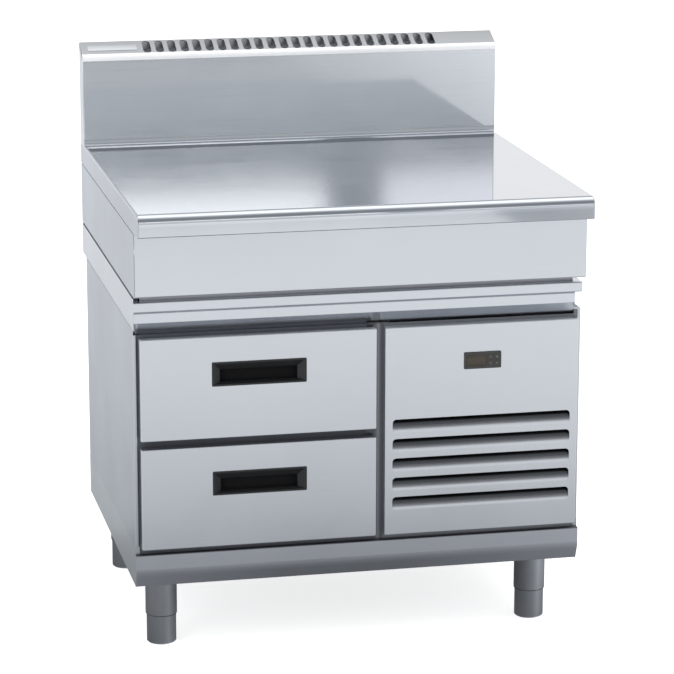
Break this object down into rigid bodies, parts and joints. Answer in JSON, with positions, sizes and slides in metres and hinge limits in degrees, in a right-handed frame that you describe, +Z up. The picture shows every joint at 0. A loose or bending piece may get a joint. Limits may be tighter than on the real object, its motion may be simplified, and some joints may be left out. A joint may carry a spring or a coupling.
{
  "type": "refrigerated base",
  "caption": "Stainless worktop base with splashback and vent deck, refrigerated drawers, a louvred machine panel with a controller, and adjustable legs.",
  "frame": {"origin": "centre of the plan, on the floor", "axes": "+Z up, the drawers face -Y, +X to the right as seen from the front"},
  "size_m": [0.9, 0.805, 1.1292],
  "materials": {
    "stainless": "fine brushed stainless sheet",
    "zinc_sheet": "plain zinc-coated sheet",
    "dark_plastic": "dark slate extrusion",
    "black_plastic": "satin black moulding",
    "gasket_rubber": "soft magnetic gasket",
    "foam": "rigid polyurethane foam",
    "controller_plastic": "smooth dark bezel",
    "key_plastic": "soft grey key",
    "fin_aluminium": "finned coil",
    "black_paint": "black baked enamel",
    "copper": "drawn copper tube",
    "grey_plastic": "light grey moulding"
  },
  "bodies": {
    "cabinet": {"apron_front": "stainless", "apron_sides": "stainless", "base_bearers": "zinc_sheet", "base_floor": "zinc_sheet", "base_frame": "stainless", "base_front_rail": "stainless", "bay_frame": "stainless", "breaker_frame": "dark_plastic", "cabinet_back": "zinc_sheet", "cabinet_floor": "zinc_sheet", "cabinet_sides": "stainless", "cabinet_top": "zinc_sheet", "cable_gland": "black_plastic", "compressor": "black_paint", "condenser_coil": "fin_aluminium", "control_box": "grey_plastic", "drain": "grey_plastic", "evaporator_coil": "fin_aluminium", "evaporator_cover": "stainless", "fan_shroud": "zinc_sheet", "flue_back": "stainless", "insulation": "foam", "joining_frame": "stainless", "leg_sleeves": "stainless", "liner": "stainless", "outer_runners": "zinc_sheet", "partition": "zinc_sheet", "refrigerant_pipes": "copper", "splashback": "stainless", "top_rail": "stainless", "vent_deck": "stainless", "worktop": "stainless", "worktop_stiffeners": "zinc_sheet"},
    "upper_drawer": {"upper_drawer_front": "stainless", "upper_drawer_core": "foam", "upper_drawer_gasket": "gasket_rubber", "upper_drawer_handle": "black_plastic", "upper_drawer_tub": "stainless", "upper_inner_runners": "zinc_sheet"},
    "lower_drawer": {"lower_drawer_front": "stainless", "lower_drawer_core": "foam", "lower_drawer_gasket": "gasket_rubber", "lower_drawer_handle": "black_plastic", "lower_drawer_tub": "stainless", "lower_inner_runners": "zinc_sheet"},
    "upper_slides": {"upper_middle_runners": "zinc_sheet"},
    "lower_slides": {"lower_middle_runners": "zinc_sheet"},
    "machine_panel": {"louvre_panel": "stainless", "controller": "controller_plastic"},
    "key_upper_left": {"key_upper_left": "key_plastic"},
    "key_upper_right": {"key_upper_right": "key_plastic"},
    "key_lower_left": {"key_lower_left": "key_plastic"},
    "key_lower_right": {"key_lower_right": "key_plastic"},
    "condenser_fan": {"condenser_fan": "zinc_sheet"},
    "evaporator_fan": {"evaporator_fan": "black_plastic"},
    "foot_front_left": {"foot_front_left": "stainless"},
    "foot_front_right": {"foot_front_right": "stainless"},
    "foot_rear_left": {"foot_rear_left": "stainless"},
    "foot_rear_right": {"foot_rear_right": "stainless"}
  },
  "joints": [
    {"name": "upper_drawer_slide", "type": "slide", "parent": "cabinet", "child": "upper_drawer", "axis": [0, -1, 0], "range_m": [0, 0.5]},
    {"name": "upper_slides_slide", "type": "slide", "parent": "cabinet", "child": "upper_slides", "axis": [0, -1, 0], "range_m": [0, 0.25]},
    {"name": "lower_drawer_slide", "type": "slide", "parent": "cabinet", "child": "lower_drawer", "axis": [0, -1, 0], "range_m": [0, 0.5]},
    {"name": "lower_slides_slide", "type": "slide", "parent": "cabinet", "child": "lower_slides", "axis": [0, -1, 0], "range_m": [0, 0.25]},
    {"name": "machine_panel_pull", "type": "slide", "parent": "cabinet", "child": "machine_panel", "axis": [0, -1, 0], "range_m": [0, 0.05]},
    {"name": "key_upper_left_press", "type": "slide", "parent": "machine_panel", "child": "key_upper_left", "axis": [0, 1, 0], "range_m": [0, 0.0006], "stiffness_N_per_m": 300},
    {"name": "key_upper_right_press", "type": "slide", "parent": "machine_panel", "child": "key_upper_right", "axis": [0, 1, 0], "range_m": [0, 0.0006], "stiffness_N_per_m": 300},
    {"name": "key_lower_left_press", "type": "slide", "parent": "machine_panel", "child": "key_lower_left", "axis": [0, 1, 0], "range_m": [0, 0.0006], "stiffness_N_per_m": 300},
    {"name": "key_lower_right_press", "type": "slide", "parent": "machine_panel", "child": "key_lower_right", "axis": [0, 1, 0], "range_m": [0, 0.0006], "stiffness_N_per_m": 300},
    {"name": "condenser_fan_spin", "type": "hinge", "parent": "cabinet", "child": "condenser_fan", "pos_m": [0.254, -0.214, 0.35475], "axis": [0, 1, 0], "continuous": true},
    {"name": "evaporator_fan_spin", "type": "hinge", "parent": "cabinet", "child": "evaporator_fan", "pos_m": [-0.2055, 0.2807, 0.51294], "axis": [0, 1, 0], "continuous": true},
    {"name": "foot_front_left_thread", "type": "slide", "parent": "cabinet", "child": "foot_front_left", "axis": [0, 0, -1], "range_m": [0, 0.045]},
    {"name": "foot_front_right_thread", "type": "slide", "parent": "cabinet", "child": "foot_front_right", "axis": [0, 0, -1], "range_m": [0, 0.045]},
    {"name": "foot_rear_left_thread", "type": "slide", "parent": "cabinet", "child": "foot_rear_left", "axis": [0, 0, -1], "range_m": [0, 0.045]},
    {"name": "foot_rear_right_thread", "type": "slide", "parent": "cabinet", "child": "foot_rear_right", "axis": [0, 0, -1], "range_m": [0, 0.045]}
  ],
  "couplings": [
    {"joint": "upper_slides_slide", "follows": "upper_drawer_slide", "ratio": 0.5},
    {"joint": "lower_slides_slide", "follows": "lower_drawer_slide", "ratio": 0.5}
  ]
}
